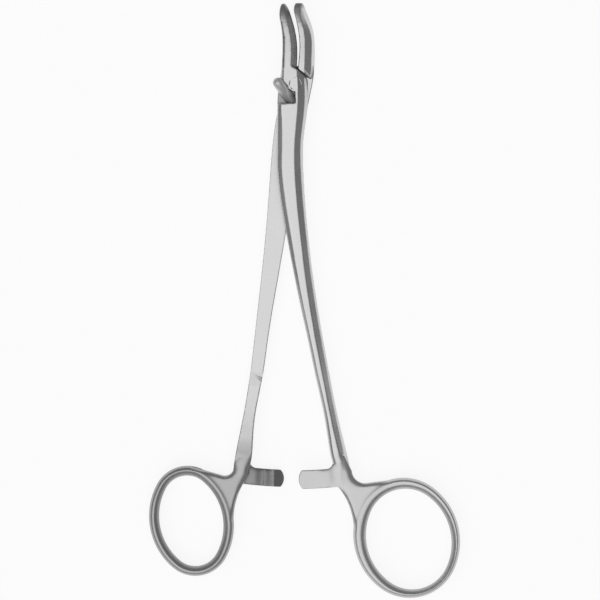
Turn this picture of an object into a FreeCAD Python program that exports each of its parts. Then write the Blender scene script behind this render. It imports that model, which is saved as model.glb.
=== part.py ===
import FreeCAD, Part
import math
import os
from dataclasses import dataclass

import Sketcher
from FreeCAD import Placement, Rotation, Vector

# Scalpel blade remover: a ring-handled forceps of two forged arms that cross in a half-lap joint.
# Millimetres. The instrument lies flat, jaws towards +Y. Each arm is drawn about the pivot, in
# the closed position, with z = 0 on the lap face between the two. The front arm is the upper one:
# its jaw lies to the left and its ring to the right. The rear arm lies under it.

# Single sizes
SINGLE_SIZES = {
    # Placing the pair on the table
    "pivot_x": -2.28,
    "pivot_y": 53.93,
    "open_angle": 3.0,
    # Lap joint
    "plate_height": 2.8,
    "lap_gap": 0.06,
    "lap_end": -72.0,
    "shoulder_reach": 3.4,
    "shoulder_gap": 0.12,
    "shoulder_angle": 52.6,
    # Pivot rivet
    "pin_radius": 1.25,
    "pin_head_radius": 1.6,
    "pin_head_depth": 0.5,
    "pin_recess": 0.03,
    "pin_running_gap": 0.05,
    "pin_seat_gap": 0.01,
    # Edges of the shanks
    "edge_break": 0.15,
    "bevel_depth_outer": 1.25,
    "bevel_depth_inner": 0.75,
    # Jaws
    "mating_gap": 0.08,
    # Finger rings
    "ring_thickness": 3.4,
    "ring_bevel": 0.8,
    "ring_bevel_blend": 0.28,
    "ring_end_sharpness": 0.55,
    "rear_ring_x": -25.9,
    "rear_ring_drop": 12.65,
    "rear_ring_long": 11.4,
    "rear_ring_short": 7.9,
    "rear_ring_lean": 11.0,
    "rear_band_end": 2.42,
    "rear_band_side": 2.58,
    "rear_outer_shift_x": 0.05,
    "rear_outer_shift_y": 0.0,
    "front_ring_x": 22.35,
    "front_ring_drop": 18.53,
    "front_ring_long": 12.68,
    "front_ring_short": 10.55,
    "front_ring_lean": 12.0,
    "front_band_end": 2.4,
    "front_band_side": 2.65,
    "front_outer_shift_x": -0.51,
    "front_outer_shift_y": 0.33,
    # Webs between shank and ring
    "web_thickness": 2.9,
    "web_inset": 0.8,
    "web_margin": 0.35,
    "web_turn": 10.0,
    "rear_crotch_out": 0.3,
    "rear_crotch_drop": 1.6,
    "rear_crotch_radius": 2.3,
    "rear_crotch_angle": 14.0,
    "rear_flank_angle": 98.0,
    "rear_flank_radius": 18.6,
    "rear_flank_root": -13.0,
    "front_crotch_out": 0.9,
    "front_crotch_drop": 4.0,
    "front_crotch_radius": 3.3,
    "front_crotch_angle": 1.5,
    "front_flank_angle": 67.0,
    "front_flank_radius": 18.1,
    "front_flank_root": 5.45,
    # Ratchet
    "ratchet_near": 96.2,
    "rear_ratchet_width": 4.3,
    "front_ratchet_width": 4.7,
    "ratchet_outer_face": 1.7,
    "ratchet_tip_bulge": 0.88,
    "ratchet_seat": 2.4,
    "ratchet_flare": 1.2,
    "ratchet_flare_radius": 1.6,
    "tooth_pitch": 2.1,
    "tooth_depth": 0.55,
    "tooth_gap": 0.05,
    "end_ramp_depth": 0.95,
    "tooth_count": 2,
    "rear_ratchet_tip": -3.67,
    "front_ratchet_tip": -3.4,
    "rear_end_crest": -5.8,
    "front_end_crest": -1.35,
    # Stop stud and its seat
    "stud_radius": 1.32,
    "stud_length": 6.0,
    "stud_tip_x": -4.21,
    "stud_tip_y": 0.4,
    "stud_tip_above": 1.1,
    "stud_azimuth": 125.0,
    "stud_rise": 25.0,
    "stud_seat_gap": 0.02,
    "recess_depth": 0.9,
    "recess_top": -1.2,
    "recess_bottom": -4.75,
    "recess_right": -0.15,
}


@dataclass(frozen=True)
class ShankStation:
    """A cross-section shared by both shanks, with the two edges that differ between the arms.

    It stands at a share of the way from the pivot down to the catch, and its outer face at a
    share of the joint plate's height.
    """

    way: float
    outer_share: float
    inner_face: float
    inner_bevel: float
    outer_bevel: float
    outer_rim: float
    front_left: float
    front_right: float
    rear_left: float
    rear_right: float


# From the top of the joint plates down to the finger rings
SHANK_STATIONS = (
    ShankStation(-0.0478, 0.97, -0.2, 0.9, 1.85, 0.9, -3.06, 3.6, -3.1, 4.72),
    ShankStation(0.0, 1.0214, -0.2, 0.9, 1.85, 0.95, -4.1, 3.3, -3.3, 4.35),
    ShankStation(0.052, 1.0214, -0.2, 1.0, 1.85, 0.9, -4.77, 3.04, -4.2, 3.31),
    ShankStation(0.1247, 0.9821, -0.2, 1.3, 1.6, 0.7, -5.13, 1.76, -5.38, 2.06),
    ShankStation(0.2287, 0.9464, -0.2, 1.2, 1.6, 0.65, -5.61, 1.01, -6.32, 0.1),
    ShankStation(0.3534, 0.9107, -0.2, 1.15, 1.55, 0.5, -4.59, 1.18, -7.19, -1.76),
    ShankStation(0.499, 0.8571, -0.2, 0.85, 1.5, 0.5, -2.75, 2.04, -8.56, -4.14),
    ShankStation(0.6445, 0.8214, -0.2, 0.65, 1.5, 0.5, -0.53, 3.51, -10.14, -6.49),
    ShankStation(0.79, 0.7857, -0.3, 0.65, 1.35, 0.45, 1.72, 5.28, -11.86, -8.68),
    ShankStation(0.894, 0.7, -1.0, 0.7, 1.4, 0.5, 3.21, 6.83, -13.67, -10.3),
    ShankStation(0.9667, 0.6214, -1.74, 0.7, 1.4, 0.6, 3.98, 8.17, -15.03, -10.79),
    ShankStation(1.0083, 0.5714, -1.58, 0.7, 1.3, 0.5, 5.2, 8.75, -15.55, -12.05),
)


@dataclass(frozen=True)
class JawStation:
    """A cross-section shared by both jaws; the mating edge is common, the far edges differ.

    Its outer and inner faces stand at shares of the joint plate's height.
    """

    y: float
    outer_share: float
    inner_share: float
    mating: float
    facet: float
    facet_depth: float
    edge_bevel: float
    back_bevel: float
    back_rim: float
    front_edge: float
    rear_edge: float
    tip_round: float


# The station whose inner edge carries the ratchet bar
CATCH_STATION = 10

# From inside the joint plates up to the jaw tips
JAW_STATIONS = (
    JawStation(0.8, 0.9786, 0.9857, 0.76, 1.5, 1.3, 0.6, 1.7, 0.7, -3.7, 4.0, 0.0),
    JawStation(5.2, 0.9786, 0.9857, 0.78, 1.5, 1.3, 0.6, 1.75, 0.75, -3.1, 4.9, 0.0),
    JawStation(9.0, 0.9107, 0.9286, 1.05, 1.45, 1.25, 0.55, 1.75, 0.7, -2.74, 4.96, 0.0),
    JawStation(12.5, 0.8214, 0.8571, 0.85, 1.4, 1.2, 0.5, 1.65, 0.7, -2.65, 4.69, 0.0),
    JawStation(15.5, 0.7143, 0.7679, 0.3, 1.4, 1.05, 0.4, 1.3, 1.0, -2.95, 3.93, 0.0),
    JawStation(17.5, 0.5893, 0.625, -0.2, 1.2, 0.95, 0.4, 1.0, 0.9, -3.12, 3.11, 0.0),
    JawStation(19.0, 0.4464, 0.4643, -0.54, 0.8, 0.7, 0.35, 0.7, 0.6, -2.88, 2.5, 0.15),
    JawStation(19.85, 0.2857, 0.3036, -0.66, 0.45, 0.4, 0.25, 0.45, 0.4, -2.58, 2.12, 0.5),
    JawStation(20.25, 0.1607, 0.1786, -0.7, 0.2, 0.2, 0.15, 0.2, 0.2, -2.3, 1.85, 0.8),
)


# How far the arc in the crotch between shank and ring reaches sideways and down, in parts of
# its radius
CROTCH_REACH = {
    "rear": (1.3, 1.24),
    "front": (0.94, 0.985),
}

# Depths in the ring's band, in parts of its width from the eye outwards
BAND_RIM = 0.97
BAND_INSIDE = 0.4

# The most that the bevels on the ring's edges take of its narrowest band
BEVEL_SHARE = 0.34
BLEND_SHARE = 0.12

SHEET_NAME = "Sizes"

LEVEL_TOLERANCE = 1e-6


@dataclass(frozen=True)
class Measure:
    """A length or angle, kept both as a number and as the expression that the document holds."""

    text: str
    value: float

    def __add__(self, other: "Measure | float") -> "Measure":
        other = as_measure(other)
        return Measure(f"({self.text} + {other.text})", self.value + other.value)

    def __sub__(self, other: "Measure | float") -> "Measure":
        other = as_measure(other)
        return Measure(f"({self.text} - {other.text})", self.value - other.value)

    def __mul__(self, other: "Measure | float") -> "Measure":
        other = as_measure(other)
        return Measure(f"({self.text} * {other.text})", self.value * other.value)

    def __truediv__(self, other: "Measure | float") -> "Measure":
        other = as_measure(other)
        return Measure(f"({self.text} / {other.text})", self.value / other.value)

    def __neg__(self) -> "Measure":
        return Measure(f"(-1 * {self.text})", -self.value)

    def smaller_of(self, other: "Measure") -> "Measure":
        """The smaller of this measure and another."""
        return Measure(f"min({self.text}; {other.text})", min(self.value, other.value))

    def root(self) -> "Measure":
        """The square root of this measure."""
        return Measure(f"sqrt({self.text})", math.sqrt(self.value))

    def cos(self) -> "Measure":
        """The cosine of this angle in degrees."""
        return Measure(f"cos({self.text} * 1 deg)", math.cos(math.radians(self.value)))

    def sin(self) -> "Measure":
        """The sine of this angle in degrees."""
        return Measure(f"sin({self.text} * 1 deg)", math.sin(math.radians(self.value)))


def as_measure(number: "Measure | float") -> Measure:
    """Wraps a plain number.

    Args:
        number: A measure, or a plain number.

    Returns:
        The measure itself, or one that holds the number.
    """
    if isinstance(number, Measure):
        return number
    return Measure(repr(float(number)), float(number))


ZERO = as_measure(0.0)


class SizeSheet:
    """The document's spreadsheet: every driving size, each in a cell with its own alias."""

    def __init__(self, doc) -> None:
        self.sheet = doc.addObject("Spreadsheet::Sheet", SHEET_NAME)
        self.values: dict[str, float] = {}
        for name, value in SINGLE_SIZES.items():
            self._write(name, value)
        self._write_stations("shank", SHANK_STATIONS)
        self._write_stations("jaw", JAW_STATIONS)
        doc.recompute()

    def _write(self, name: str, value: float) -> None:
        row = len(self.values) + 1
        self.sheet.set(f"A{row}", name)
        self.sheet.set(f"B{row}", str(value))
        self.sheet.setAlias(f"B{row}", name)
        self.values[name] = float(value)

    def _write_stations(self, prefix: str, stations: tuple) -> None:
        for number, station in enumerate(stations):
            for field, value in vars(station).items():
                self._write(f"{prefix}_{field}_{number}", value)

    def __getitem__(self, name: str) -> Measure:
        return Measure(f"{SHEET_NAME}.{name}", self.values[name])


@dataclass(frozen=True)
class Corner:
    """A corner of a closed outline. The edge after it is straight unless it has a radius."""

    x: Measure
    y: Measure
    radius: Measure | None = None
    bulge_left: bool = False


class Oval:
    """A four-centred oval: two end arcs and two side arcs that meet on common tangents."""

    def __init__(self, long: Measure, short: Measure, sharpness: Measure) -> None:
        """Works out the arcs.

        Args:
            long: Half of the length.
            short: Half of the width.
            sharpness: How far the end arcs' radius falls short of half the width, in parts of
                what the half length has over the half width.
        """
        longer_by = long - short
        self.end_radius = short - sharpness * longer_by
        self.side_radius = long + longer_by / (sharpness * 2)
        end_part = sharpness + 1
        side_part = as_measure(1) + as_measure(0.5) / sharpness
        whole = side_part + sharpness
        self.joint_along = self.side_radius * end_part / whole
        self.joint_across = self.end_radius * side_part / whole


class Forging:
    """One rigid piece: a body whose sketches and features are tied to the size sheet."""

    def __init__(self, doc, label: str) -> None:
        self.doc = doc
        self.body = doc.addObject("PartDesign::Body", label)
        self.body.Label = label
        self.label = label

    def origin_feature(self, role: str):
        """Finds one of the body's own origin planes or axes by its role."""
        for feature in self.body.Origin.OriginFeatures:
            if feature.Role == role:
                return feature
        raise ValueError(f"{self.label} has no {role}")

    def sketch(self, name: str, role: str, offset: Measure = ZERO):
        """Makes an empty sketch on an origin plane, moved along the plane's normal."""
        sketch = self.body.newObject("Sketcher::SketchObject", f"{self.label}_{name}")
        sketch.AttachmentSupport = [(self.origin_feature(role), "")]
        sketch.MapMode = "FlatFace"
        sketch.setExpression("AttachmentOffset.Base.z", offset.text)
        return sketch

    def outline(self, name: str, role: str, corners: list[Corner], offset: Measure = ZERO):
        """Draws a closed outline of straight and round edges, each corner tied to the sheet.

        Args:
            name: What the outline draws.
            role: The origin plane that it lies on.
            corners: The corners in order.
            offset: Distance from the plane along its normal.

        Returns:
            The sketch.
        """
        sketch = self.sketch(name, role, offset)
        starts = []
        ends = []
        for number, corner in enumerate(corners):
            following = corners[(number + 1) % len(corners)]
            here = Vector(corner.x.value, corner.y.value, 0)
            there = Vector(following.x.value, following.y.value, 0)
            if corner.radius is None:
                edge = sketch.addGeometry(Part.LineSegment(here, there))
                starts.append((edge, 1))
                ends.append((edge, 2))
            else:
                edge = self._round_edge(sketch, here, there, corner)
                starts.append((edge, 2 if corner.bulge_left else 1))
                ends.append((edge, 1 if corner.bulge_left else 2))
        for number, corner in enumerate(corners):
            following = (number + 1) % len(corners)
            sketch.addConstraint(Sketcher.Constraint("Coincident", *ends[number], *starts[following]))
            self._tie(sketch, "DistanceX", starts[number], corner.x)
            self._tie(sketch, "DistanceY", starts[number], corner.y)
        return sketch

    @staticmethod
    def _tie(sketch, kind: str, point: tuple[int, int], measure: Measure) -> None:
        constraint = sketch.addConstraint(Sketcher.Constraint(kind, -1, 1, *point, measure.value))
        sketch.setExpression(f"Constraints[{constraint}]", measure.text)

    @staticmethod
    def _round_edge(sketch, here: Vector, there: Vector, corner: Corner) -> int:
        radius = corner.radius.value
        chord = there - here
        across = Vector(chord.y, -chord.x, 0).normalize()
        if not corner.bulge_left:
            across = across * -1
        height = math.sqrt(radius ** 2 - (chord.Length / 2) ** 2)
        centre = (here + there) * 0.5 + across * height
        first, last = (there, here) if corner.bulge_left else (here, there)
        start = math.atan2(first.y - centre.y, first.x - centre.x)
        stop = math.atan2(last.y - centre.y, last.x - centre.x)
        circle = Part.Circle(centre, Vector(0, 0, 1), radius)
        edge = sketch.addGeometry(Part.ArcOfCircle(circle, start, stop))
        constraint = sketch.addConstraint(Sketcher.Constraint("Radius", edge, radius))
        sketch.setExpression(f"Constraints[{constraint}]", corner.radius.text)
        return edge

    def oval(self, name: str, centre: tuple[Measure, Measure], lean: Measure, shape: "Oval"):
        """Draws a four-centred oval on the lap plane whose long axis leans over to the left."""
        right_up = (shape.joint_along, shape.joint_across)
        corners = [
            Corner(right_up[0], -right_up[1], shape.end_radius),
            Corner(right_up[0], right_up[1], shape.side_radius),
            Corner(-right_up[0], right_up[1], shape.end_radius),
            Corner(-right_up[0], -right_up[1], shape.side_radius),
        ]
        sketch = self.outline(name, "XY_Plane", corners)
        sketch.setExpression("AttachmentOffset.Base.x", centre[0].text)
        sketch.setExpression("AttachmentOffset.Base.y", centre[1].text)
        sketch.setExpression("AttachmentOffset.Rotation.Angle", f"(90 + {lean.text}) * 1 deg")
        return sketch

    def circle(self, name: str, radius: Measure):
        """Draws a circle about the pivot on the lap plane."""
        sketch = self.sketch(name, "XY_Plane")
        curve = sketch.addGeometry(Part.Circle(Vector(), Vector(0, 0, 1), radius.value))
        sketch.addConstraint(Sketcher.Constraint("Coincident", curve, 3, -1, 1))
        constraint = sketch.addConstraint(Sketcher.Constraint("Radius", curve, radius.value))
        sketch.setExpression(f"Constraints[{constraint}]", radius.text)
        return sketch

    def pad(self, name: str, profile, length: Measure, middle: bool = False, downward: bool = False):
        """Adds a straight pad of the profile."""
        return self._extrude("PartDesign::Pad", name, profile, length, middle, downward)

    def pocket(self, name: str, profile, length: Measure, middle: bool = False, upward: bool = False):
        """Cuts a straight pocket of the profile and makes sure that it removed material."""
        before = self.body.Shape.Volume
        feature = self._extrude("PartDesign::Pocket", name, profile, length, middle, upward)
        return self._checked_cut(feature, before)

    def _extrude(self, kind: str, name: str, profile, length: Measure, middle: bool, flipped: bool):
        feature = self.body.newObject(kind, f"{self.label}_{name}")
        feature.Profile = profile
        feature.setExpression("Length", length.text)
        feature.Midplane = middle
        feature.Reversed = flipped
        self.doc.recompute()
        return feature

    def _checked_cut(self, feature, before: float):
        if self.body.Shape.Volume >= before:
            raise RuntimeError(f"{feature.Name} removed nothing")
        return feature

    def loft(self, name: str, sections: list):
        """Adds a smooth loft through the section sketches."""
        feature = self.body.newObject("PartDesign::AdditiveLoft", f"{self.label}_{name}")
        feature.Profile = sections[0]
        feature.Sections = [(section, [""]) for section in sections[1:]]
        self.doc.recompute()
        return feature

    def countersink(self, name: str, level: Measure, inner: Measure, outer: Measure, depth: Measure, side: int):
        """Cuts a cone about the pivot axis that widens away from the lap plane."""
        before = self.body.Shape.Volume
        feature = self.body.newObject("PartDesign::SubtractiveCone", f"{self.label}_{name}")
        feature.AttachmentSupport = [(self.origin_feature("XY_Plane"), "")]
        feature.MapMode = "FlatFace"
        feature.AttachmentOffset = Placement(Vector(), Rotation(Vector(1, 0, 0), 0 if side > 0 else 180))
        feature.setExpression("AttachmentOffset.Base.z", (level * side).text)
        feature.setExpression("Radius1", inner.text)
        feature.setExpression("Radius2", outer.text)
        feature.setExpression("Height", depth.text)
        self.doc.recompute()
        return self._checked_cut(feature, before)

    def revolution(self, name: str, profile):
        """Turns the profile about the body's Z axis into a solid."""
        feature = self.body.newObject("PartDesign::Revolution", f"{self.label}_{name}")
        feature.Profile = profile
        feature.ReferenceAxis = (self.origin_feature("Z_Axis"), [""])
        feature.Angle = 360
        self.doc.recompute()
        return feature

    def bevel_level_edges(self, name: str, height: Measure, size: Measure, inner_only: bool):
        """Bevels the edges round the level faces at a height above and below the lap plane.

        Args:
            name: What the bevel is called.
            height: The level of the faces.
            size: How far the bevel reaches along both faces.
            inner_only: Whether only the edges of openings in those faces are bevelled.
        """
        base = self.body.Tip
        chosen = []
        for face in base.Shape.Faces:
            box = face.BoundBox
            if box.ZLength > LEVEL_TOLERANCE or abs(abs(box.ZMin) - height.value) > LEVEL_TOLERANCE:
                continue
            for wire in face.Wires:
                if not (inner_only and wire.isSame(face.OuterWire)):
                    chosen.extend(wire.Edges)
        names = [
            f"Edge{number}"
            for number, edge in enumerate(base.Shape.Edges, start=1)
            if any(edge.isSame(other) for other in chosen)
        ]
        feature = self.body.newObject("PartDesign::Chamfer", f"{self.label}_{name}")
        feature.Base = (base, names)
        feature.setExpression("Size", size.text)
        self.doc.recompute()
        return feature

    def polar_pattern(self, name: str, original, count: Measure, pitch_angle: Measure, clockwise: bool):
        """Repeats a feature about the pivot axis."""
        feature = self.body.newObject("PartDesign::PolarPattern", f"{self.label}_{name}")
        feature.Originals = [original]
        feature.Axis = (self.origin_feature("Z_Axis"), [""])
        feature.setExpression("Occurrences", count.text)
        feature.setExpression("Angle", f"{pitch_angle.text} * ({count.text} - 1) * 1 deg")
        feature.Reversed = clockwise
        self.body.Tip = feature
        self.doc.recompute()
        return feature


class Arm:
    """One forged arm: jaw, joint plate, shank, ratchet bar, web and finger ring.

    The side is +1 for the front arm, whose outer face looks up, and -1 for the rear arm. The
    two arms are alike when one is turned over about the long axis, so the same methods serve
    both, with heights and left-right directions multiplied by the side.
    """

    def __init__(self, doc, sizes: SizeSheet, name: str, side: int) -> None:
        self.doc = doc
        self.sizes = sizes
        self.name = name
        self.side = side
        self.piece = Forging(doc, f"{name}_arm")

    def build(self) -> Forging:
        """Builds the whole arm."""
        self._ring_blank()
        self._web()
        self._ring_eye()
        self._ratchet_bar()
        self._shank()
        self._lap_face()
        self._joint_face()
        self._plate_shoulder()
        self._jaw()
        self._jaw_shoulder()
        self._pivot_bore()
        self._ratchet_teeth()
        return self.piece

    def own(self, name: str) -> Measure:
        """A size of this arm alone."""
        return self.sizes[f"{self.name}_{name}"]

    def height(self, measure: Measure) -> Measure:
        """A height above the lap plane, towards this arm's outer face."""
        return measure * self.side

    def _ring_blank(self) -> None:
        """The finger ring before its eye is cut."""
        outer = self._band_oval("ring_outer", 1.0)
        self.piece.pad("ring_blank", outer, self.sizes["ring_thickness"], middle=True)
        self._bevel_round("ring", inner_only=False)

    def _ring_eye(self) -> None:
        inner = self._band_oval("ring_inner", 0.0)
        self.piece.pocket("ring_eye", inner, self.sizes["ring_thickness"] * 2, middle=True)
        self._bevel_round("eye", inner_only=True)

    def _bevel_round(self, name: str, inner_only: bool) -> None:
        """Rounds the ring's outer or inner edges: a bevel, and a smaller one on its upper edge."""
        sizes = self.sizes
        narrowest = self._narrowest_band()
        face = sizes["ring_thickness"] / 2
        bevel = sizes["ring_bevel"].smaller_of(narrowest * BEVEL_SHARE).smaller_of(face * BEVEL_SHARE * 2)
        blend = sizes["ring_bevel_blend"].smaller_of(narrowest * BLEND_SHARE).smaller_of(bevel / 2)
        self.piece.bevel_level_edges(f"{name}_bevel", face, bevel, inner_only)
        self.piece.bevel_level_edges(f"{name}_blend", face, blend, inner_only)

    def _narrowest_band(self) -> Measure:
        """The band's least width, where the outer oval's shift brings it nearest to the eye."""
        shift_x = self.own("outer_shift_x")
        shift_y = self.own("outer_shift_y")
        shift = (shift_x * shift_x + shift_y * shift_y).root()
        return self.own("band_end").smaller_of(self.own("band_side")) - shift

    def _band_oval(self, name: str, share: float):
        """An oval round the eye, at a share of the band's width."""
        long = self.own("ring_long") + self.own("band_end") * share
        short = self.own("ring_short") + self.own("band_side") * share
        shape = Oval(long, short, self.sizes["ring_end_sharpness"])
        return self.piece.oval(name, self._band_centre(share), self.own("ring_lean"), shape)

    def _band_centre(self, share: float) -> tuple[Measure, Measure]:
        """The middle of the oval at a share of the band's width; the eye's lies below the catch."""
        x = self.own("ring_x") + self.own("outer_shift_x") * share
        y = self.own("outer_shift_y") * share - (self.sizes["ratchet_near"] + self.own("ring_drop"))
        return x, y

    def _in_band(self, along_angle: Measure, share: float) -> tuple[Measure, Measure]:
        """A point in the ring's band, at an angle from the long axis round towards the shank."""
        across = self.own("ring_short") + self.own("band_side") * share
        along = self.own("ring_long") + self.own("band_end") * share
        lean = self.own("ring_lean")
        turned = along_angle * -self.side
        long_part = along * turned.cos()
        short_part = across * turned.sin()
        centre = self._band_centre(share)
        x = centre[0] - long_part * lean.sin() + short_part * lean.cos()
        y = centre[1] + long_part * lean.cos() + short_part * lean.sin()
        return x, y

    def _web(self) -> None:
        """The plate between shank and ring: a tongue in the shank that widens into the band."""
        sizes = self.sizes
        outer_edge, inner_edge = ("left", "right") if self.side < 0 else ("right", "left")
        inset = sizes["web_inset"] * self.side
        margin = sizes["web_margin"] * self.side
        top = self._shank_y(CATCH_STATION)
        last = len(SHANK_STATIONS) - 1
        outer_x = self.own_station(outer_edge, CATCH_STATION)
        inner_x = self.own_station(inner_edge, CATCH_STATION)
        foot = (outer_x + self.own("crotch_out") * self.side, top - self.own("crotch_drop"))
        crotch = self.own("crotch_radius")
        reach, drop = CROTCH_REACH[self.name]
        crotch_angle = self.own("crotch_angle")
        flank_angle = self.own("flank_angle")
        crotch_inside = crotch_angle + sizes["web_turn"]
        flank_inside = flank_angle - sizes["web_turn"]
        bulge_left = self.side < 0
        corners = [
            Corner(outer_x - inset, top),
            Corner(*foot, crotch, bulge_left),
            Corner(foot[0] + crotch * reach * self.side, foot[1] - crotch * drop),
            Corner(*self._in_band(crotch_angle, BAND_RIM)),
            Corner(*self._in_band(crotch_inside, BAND_INSIDE)),
            Corner(*self._in_band(flank_inside, BAND_INSIDE)),
            Corner(*self._in_band(flank_angle, BAND_RIM), self.own("flank_radius"), bulge_left),
            Corner(*self._on_arc(self._ratchet_far(), self.own("flank_root"))),
            Corner(self.own_station(inner_edge, last) - margin, self._shank_y(last)),
            Corner(inner_x + inset, top),
        ]
        profile = self.piece.outline("web", "XY_Plane", corners)
        self.piece.pad("web_plate", profile, sizes["web_thickness"], middle=True)

    def own_station(self, edge: str, number: int) -> Measure:
        """The left or right edge of this arm's shank at a station."""
        return self.sizes[f"shank_{self.name}_{edge}_{number}"]

    def _shank_y(self, number: int) -> Measure:
        """Where a shank station stands along the arm."""
        return -(self.sizes["ratchet_near"] * self.sizes[f"shank_way_{number}"])

    def _shank_section(self, number: int):
        sizes = self.sizes
        left = self.own_station("left", number)
        right = self.own_station("right", number)
        outer = self.height(sizes["plate_height"] * sizes[f"shank_outer_share_{number}"])
        inner = self.height(sizes[f"shank_inner_face_{number}"])
        edge_break = sizes["edge_break"]
        rise = self.height(edge_break)
        wide = (sizes[f"shank_outer_bevel_{number}"], sizes[f"shank_outer_rim_{number}"], sizes["bevel_depth_outer"])
        narrow = (sizes[f"shank_inner_bevel_{number}"], edge_break, sizes["bevel_depth_inner"])
        left_bevel, left_rim, left_depth = narrow if self.side > 0 else wide
        right_bevel, right_rim, right_depth = wide if self.side > 0 else narrow
        corners = [
            Corner(left + edge_break, inner),
            Corner(right - edge_break, inner),
            Corner(right, inner + rise),
            Corner(right - right_rim, outer - self.height(right_depth)),
            Corner(right - right_rim - right_bevel, outer),
            Corner(left + left_rim + left_bevel, outer),
            Corner(left + left_rim, outer - self.height(left_depth)),
            Corner(left, inner + rise),
        ]
        return self.piece.outline(f"shank_section_{number}", "XZ_Plane", corners, -self._shank_y(number))

    def _shank(self) -> None:
        sections = [self._shank_section(number) for number in range(len(SHANK_STATIONS))]
        self.piece.loft("shank_blank", sections)

    def _shoulder_point(self, reach: Measure, along: float) -> tuple[Measure, Measure]:
        """A point on the line that runs past the pivot at the given reach, on this arm's plate."""
        angle = self.sizes["shoulder_angle"]
        x = reach * angle.cos() - as_measure(along) * angle.sin()
        y = reach * angle.sin() + as_measure(along) * angle.cos()
        return x * self.side, y

    def _plate_shoulder(self) -> None:
        """Trims the joint plate along the other arm's shoulder, with a round corner about the pivot."""
        reach = self.sizes["shoulder_reach"] - self.sizes["shoulder_gap"]
        beyond = 12.0
        corners = [
            Corner(*self._shoulder_point(reach, beyond)),
            Corner(*self._shoulder_point(reach, 0.0), reach, bulge_left=self.side > 0),
            Corner(reach * self.side, ZERO),
            Corner((reach + beyond) * self.side, ZERO),
            Corner((reach + beyond) * self.side, reach + beyond),
            Corner(*self._shoulder_point(reach + beyond, beyond)),
        ]
        profile = self.piece.outline("plate_trim", "XY_Plane", corners)
        self.piece.pocket("plate_edge", profile, self.sizes["plate_height"] * 4, middle=True)

    def _jaw_section(self, number: int):
        sizes = self.sizes
        mating_shift = sizes["mating_gap"] / 2 + sizes[f"jaw_tip_round_{number}"]
        mating = sizes[f"jaw_mating_{number}"] - mating_shift * self.side
        far = sizes[f"jaw_{self.name}_edge_{number}"]
        outer = self.height(sizes["plate_height"] * sizes[f"jaw_outer_share_{number}"])
        back = -self.height(sizes["plate_height"] * sizes[f"jaw_inner_share_{number}"])
        facet = sizes[f"jaw_facet_{number}"] * self.side
        facet_depth = self.height(sizes[f"jaw_facet_depth_{number}"])
        edge_bevel = sizes[f"jaw_edge_bevel_{number}"]
        rim = sizes[f"jaw_back_rim_{number}"] * self.side
        back_bevel = sizes[f"jaw_back_bevel_{number}"] * self.side
        small = sizes["edge_break"]
        corners = [
            Corner(mating - small * self.side, back),
            Corner(mating, back + self.height(small)),
            Corner(mating, outer - facet_depth),
            Corner(mating - facet, outer),
            Corner(far + edge_bevel * self.side, outer),
            Corner(far, outer - self.height(edge_bevel)),
            Corner(far + rim, back + facet_depth),
            Corner(far + rim + back_bevel, back),
        ]
        return self.piece.outline(f"jaw_section_{number}", "XZ_Plane", corners, -sizes[f"jaw_y_{number}"])

    def _jaw(self) -> None:
        sections = [self._jaw_section(number) for number in range(len(JAW_STATIONS))]
        self.piece.loft("jaw_blank", sections)

    def _lap_face(self) -> None:
        """Mills the inner side of the plate and shank flat, down to where the two arms part."""
        wide = self.sizes["shoulder_reach"] * 10
        corners = [
            Corner(-wide, self.sizes["lap_end"]),
            Corner(wide, self.sizes["lap_end"]),
            Corner(wide, wide),
            Corner(-wide, wide),
        ]
        self._mill("lap_face", corners)

    def _jaw_shoulder(self) -> None:
        """Mills the jaw's root away on the inner side, up to the slanting shoulder."""
        reach = self.sizes["shoulder_reach"]
        far_out = 12.0
        up_hill = self._shoulder_point(reach, far_out)
        down_hill = self._shoulder_point(reach, -far_out)
        corners = [
            Corner(-up_hill[0], up_hill[1]),
            Corner(-down_hill[0], down_hill[1]),
            Corner(-up_hill[0], down_hill[1]),
        ]
        self._mill("jaw_shoulder", corners)

    def _joint_face(self) -> None:
        """Grinds the joint plate's outer face flat: the face that the instrument lies on."""
        wide = self.sizes["shoulder_reach"] * 4
        corners = [
            Corner(-wide, -wide),
            Corner(wide, -wide),
            Corner(wide, wide),
            Corner(-wide, wide),
        ]
        level = self.height(self.sizes["plate_height"])
        profile = self.piece.outline("joint_face", "XY_Plane", corners, level)
        self.piece.pocket("joint_face_cut", profile, self.sizes["plate_height"], upward=self.side > 0)

    def _mill(self, name: str, corners: list[Corner]) -> None:
        level = self.height(self.sizes["lap_gap"] / 2)
        profile = self.piece.outline(name, "XY_Plane", corners, level)
        self.piece.pocket(f"{name}_cut", profile, self.sizes["plate_height"] * 2, upward=self.side < 0)

    def _pivot_bore(self) -> None:
        """Bores the pivot hole through the plate and countersinks its outer face."""
        sizes = self.sizes
        gap = sizes["pin_running_gap"] if self.side > 0 else sizes["pin_seat_gap"]
        bore = sizes["pin_radius"] + gap
        head = sizes["pin_head_radius"] + gap
        depth = sizes["pin_head_depth"]
        profile = self.piece.circle("pivot_bore", bore)
        self.piece.pocket("pivot_hole", profile, sizes["plate_height"] * 4, middle=True)
        floor = sizes["plate_height"] - depth
        self.piece.countersink("pivot_countersink", floor, bore, head * 2 - bore, depth * 2, self.side)

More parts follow.
